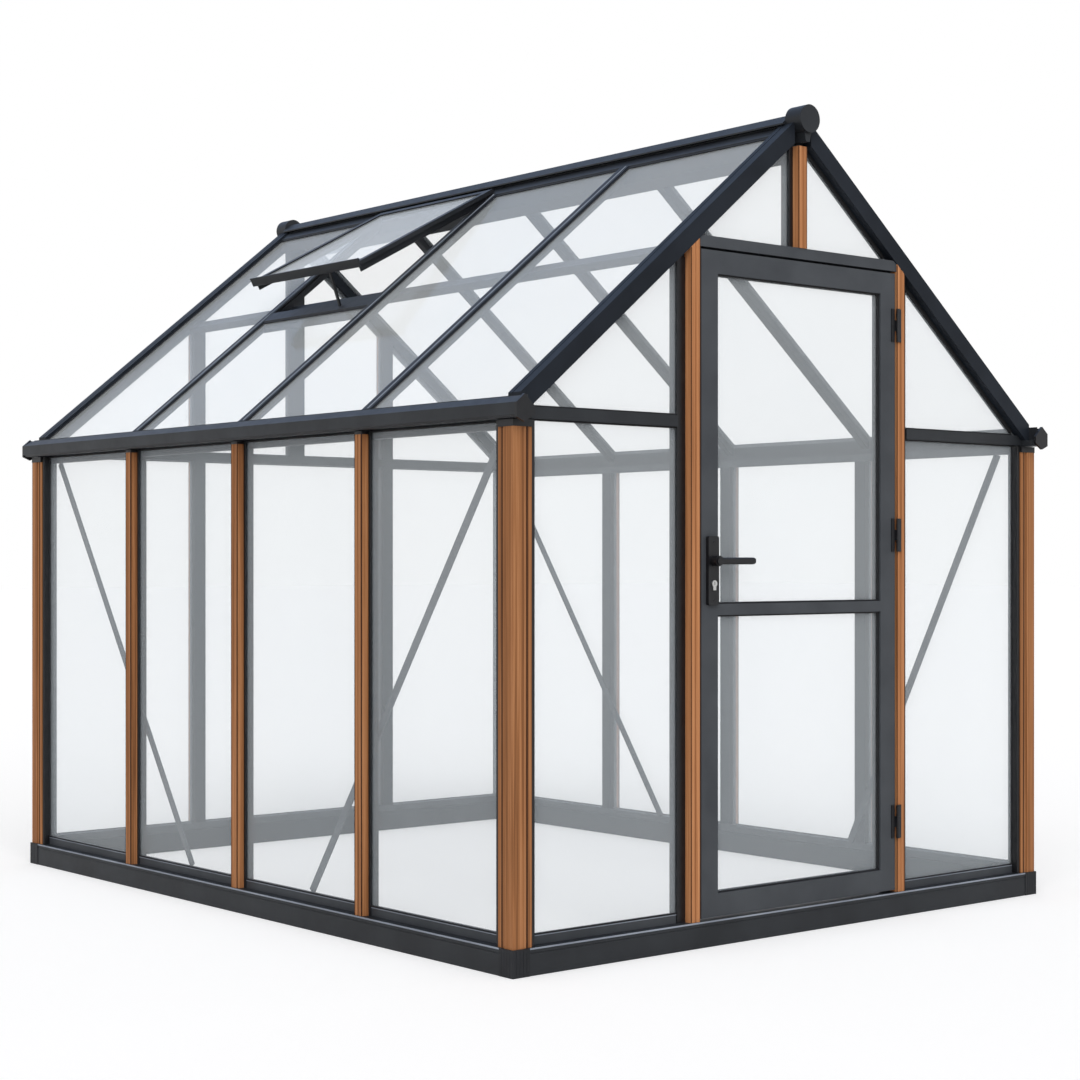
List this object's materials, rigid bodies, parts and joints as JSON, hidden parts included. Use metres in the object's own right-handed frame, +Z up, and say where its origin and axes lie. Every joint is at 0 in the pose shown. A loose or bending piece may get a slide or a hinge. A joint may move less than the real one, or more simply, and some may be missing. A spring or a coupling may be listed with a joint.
{
  "type": "greenhouse",
  "caption": "Small glass greenhouse with a dark aluminium frame, timber strips over its posts, a glazed hinged door in one gable and a roof vent propped open.",
  "frame": {"origin": "middle of the base on the ground", "axes": "+Z up, -Y towards the door gable, +Y along the ridge, +X to the door's hinge side"},
  "size_m": [1.944, 2.458, 2.11],
  "materials": {
    "frame": "satin powder coat",
    "timber": "oiled",
    "glass": "clear",
    "black_fittings": "satin",
    "lock_silver": "satin"
  },
  "bodies": {
    "house": {"base_sills": "frame", "base_corner_blocks": "frame", "corner_posts": "frame", "corner_strips": "timber", "corner_caps": "black_fittings", "side_wall_rails": "frame", "side_wall_studs": "frame", "side_wall_strips": "timber", "left_wall_glass": "glass", "right_wall_glass": "glass", "wall_braces": "frame", "gable_bottom_rails": "frame", "front_gable_rails": "frame", "door_jambs": "frame", "door_lintel": "frame", "king_posts": "frame", "front_strips": "timber", "front_glass": "glass", "back_gable_rails": "frame", "back_studs": "frame", "back_strips": "timber", "back_glass": "glass", "gable_rafters": "frame", "ridge_beam": "frame", "ridge_end_caps": "frame", "left_gutter": "frame", "right_gutter": "frame", "gutter_end_caps": "black_fittings", "roof_bars": "frame", "left_roof_purlin": "frame", "left_roof_glass": "glass", "right_roof_glass": "glass", "vent_sill": "frame", "vent_frame": "frame", "vent_glass": "glass", "vent_stay": "black_fittings", "post_hinge_leaves": "black_fittings"},
    "door": {"door_stiles": "frame", "door_rails": "frame", "door_glass": "glass", "door_hinge_leaves": "black_fittings", "handle_plates": "black_fittings", "lock_cylinders": "lock_silver"},
    "lever": {"lever_grips": "black_fittings", "lever_spindle": "black_fittings"}
  },
  "joints": [
    {"name": "door_swing", "type": "hinge", "parent": "house", "child": "door", "pos_m": [0.3625, -1.2, 0.9], "axis": [0, 0, 1], "range_deg": [0, 110]},
    {"name": "lever_turn", "type": "hinge", "parent": "door", "child": "lever", "pos_m": [-0.325, -1.2, 0.947], "axis": [0, 1, 0], "range_deg": [0, 40], "stiffness_Nm_per_rad": 1, "springref_deg": -28.65}
  ]
}
